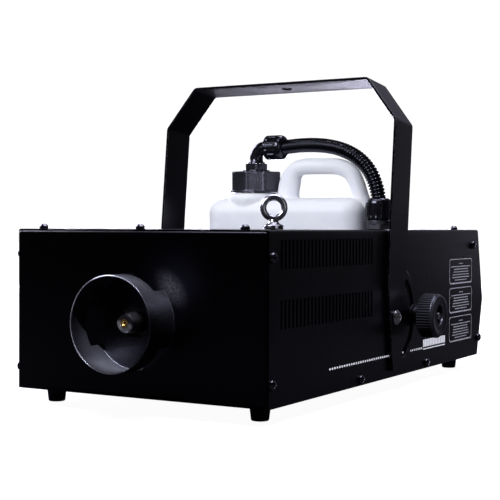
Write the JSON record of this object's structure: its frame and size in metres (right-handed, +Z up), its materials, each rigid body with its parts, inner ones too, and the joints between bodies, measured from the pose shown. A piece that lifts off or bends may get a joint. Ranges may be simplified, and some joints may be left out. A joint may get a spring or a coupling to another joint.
{
  "type": "fog machine",
  "caption": "Horizontal stage fog machine: black steel housing with a front nozzle shroud, a tilting yoke with clamping knobs, and a fluid bottle with hose in its top.",
  "frame": {"origin": "on the floor, under the middle of the bounding box", "axes": "+Z up, -Y the way the nozzle points, +X to the machine's right as seen from the front"},
  "size_m": [0.3758, 0.6294, 0.3537],
  "materials": {
    "black_coat": "fine-textured satin black powder coat",
    "bare_steel": "zinc-plated steel",
    "chrome": "polished chrome",
    "cast_aluminium": "as cast",
    "brass": "turned",
    "rubber": "matt",
    "hose_plastic": "ribbed satin conduit",
    "milky_plastic": "translucent white blow-moulded",
    "gloss_plastic": "gloss black moulded",
    "knob_plastic": "satin black moulded",
    "clear_tube": "natural tubing",
    "board_green": "circuit board"
  },
  "bodies": {
    "housing": {"base_pan": "black_coat", "front_panel": "black_coat", "top_cover": "black_coat", "rear_panel": "black_coat", "bottle_well": "black_coat", "nozzle_shroud": "black_coat", "foot_front_left": "rubber", "foot_front_right": "rubber", "foot_rear_left": "rubber", "foot_rear_right": "rubber", "heater_block": "cast_aluminium", "heater_nozzle": "bare_steel", "nozzle_tip": "brass", "heater_bracket_front": "bare_steel", "heater_bracket_rear": "bare_steel", "thermostat": "bare_steel", "pump": "cast_aluminium", "pump_bracket": "bare_steel", "feed_tube": "clear_tube", "draw_tube": "clear_tube", "control_board": "board_green", "board_bracket": "bare_steel", "display_board": "board_green", "pivot_bolt_left": "bare_steel", "pivot_bolt_right": "bare_steel", "pivot_washer_left": "bare_steel", "pivot_washer_right": "bare_steel", "pivot_plate_left": "bare_steel", "pivot_plate_right": "bare_steel", "eye_bolt": "chrome", "bottle": "milky_plastic", "cap_nut": "gloss_plastic", "elbow": "gloss_plastic", "elbow_nut": "gloss_plastic", "hose": "hose_plastic", "gland_body": "gloss_plastic", "gland_nut": "gloss_plastic", "gland_locknut": "gloss_plastic", "suction_tube": "clear_tube", "suction_filter": "brass", "display_panel": "gloss_plastic", "power_inlet": "gloss_plastic", "fuse_holder": "gloss_plastic", "switch_frame": "gloss_plastic", "control_socket_in": "gloss_plastic", "control_socket_out": "gloss_plastic"},
    "yoke": {"yoke": "black_coat"},
    "knob_left": {"clamp_knob_left": "knob_plastic", "knob_stud_left": "bare_steel", "knob_collar_left": "knob_plastic"},
    "knob_right": {"clamp_knob_right": "knob_plastic", "knob_stud_right": "bare_steel", "knob_collar_right": "knob_plastic"},
    "cap": {"bottle_cap": "gloss_plastic"},
    "rocker": {"power_rocker": "knob_plastic"},
    "fuse_cap": {"fuse_cap": "gloss_plastic"},
    "button_1": {"menu_button_1": "knob_plastic"},
    "button_2": {"menu_button_2": "knob_plastic"},
    "button_3": {"menu_button_3": "knob_plastic"},
    "button_4": {"menu_button_4": "knob_plastic"}
  },
  "joints": [
    {"name": "yoke_tilt", "type": "hinge", "parent": "housing", "child": "yoke", "pos_m": [0, 0.00995, 0.0828], "axis": [1, 0, 0], "range_deg": [-50, 61]},
    {"name": "knob_left_turn", "type": "hinge", "parent": "housing", "child": "knob_left", "pos_m": [-0.1682, 0.05795, 0.0828], "axis": [-1, 0, 0], "range_deg": [0, 540]},
    {"name": "knob_right_turn", "type": "hinge", "parent": "housing", "child": "knob_right", "pos_m": [0.1682, 0.05795, 0.0828], "axis": [1, 0, 0], "range_deg": [0, 540]},
    {"name": "cap_turn", "type": "hinge", "parent": "housing", "child": "cap", "pos_m": [-0.047, 0.04575, 0.2248], "axis": [0, 0, 1], "range_deg": [0, 540]},
    {"name": "switch_rock", "type": "hinge", "parent": "housing", "child": "rocker", "pos_m": [0.012, 0.30316, 0.05259], "axis": [1, 0, 0], "range_deg": [0, 16]},
    {"name": "fuse_cap_turn", "type": "hinge", "parent": "housing", "child": "fuse_cap", "pos_m": [0.05, 0.30529, 0.05202], "axis": [0, 0.9663, -0.2574], "range_deg": [0, 90]},
    {"name": "button_1_press", "type": "slide", "parent": "housing", "child": "button_1", "axis": [0, 0.9782, 0.2078], "range_m": [-0.001, 0], "stiffness_N_per_m": 600},
    {"name": "button_2_press", "type": "slide", "parent": "housing", "child": "button_2", "axis": [0, 0.9782, 0.2078], "range_m": [-0.001, 0], "stiffness_N_per_m": 600},
    {"name": "button_3_press", "type": "slide", "parent": "housing", "child": "button_3", "axis": [0, 0.9782, 0.2078], "range_m": [-0.001, 0], "stiffness_N_per_m": 600},
    {"name": "button_4_press", "type": "slide", "parent": "housing", "child": "button_4", "axis": [0, 0.9782, 0.2078], "range_m": [-0.001, 0], "stiffness_N_per_m": 600}
  ]
}
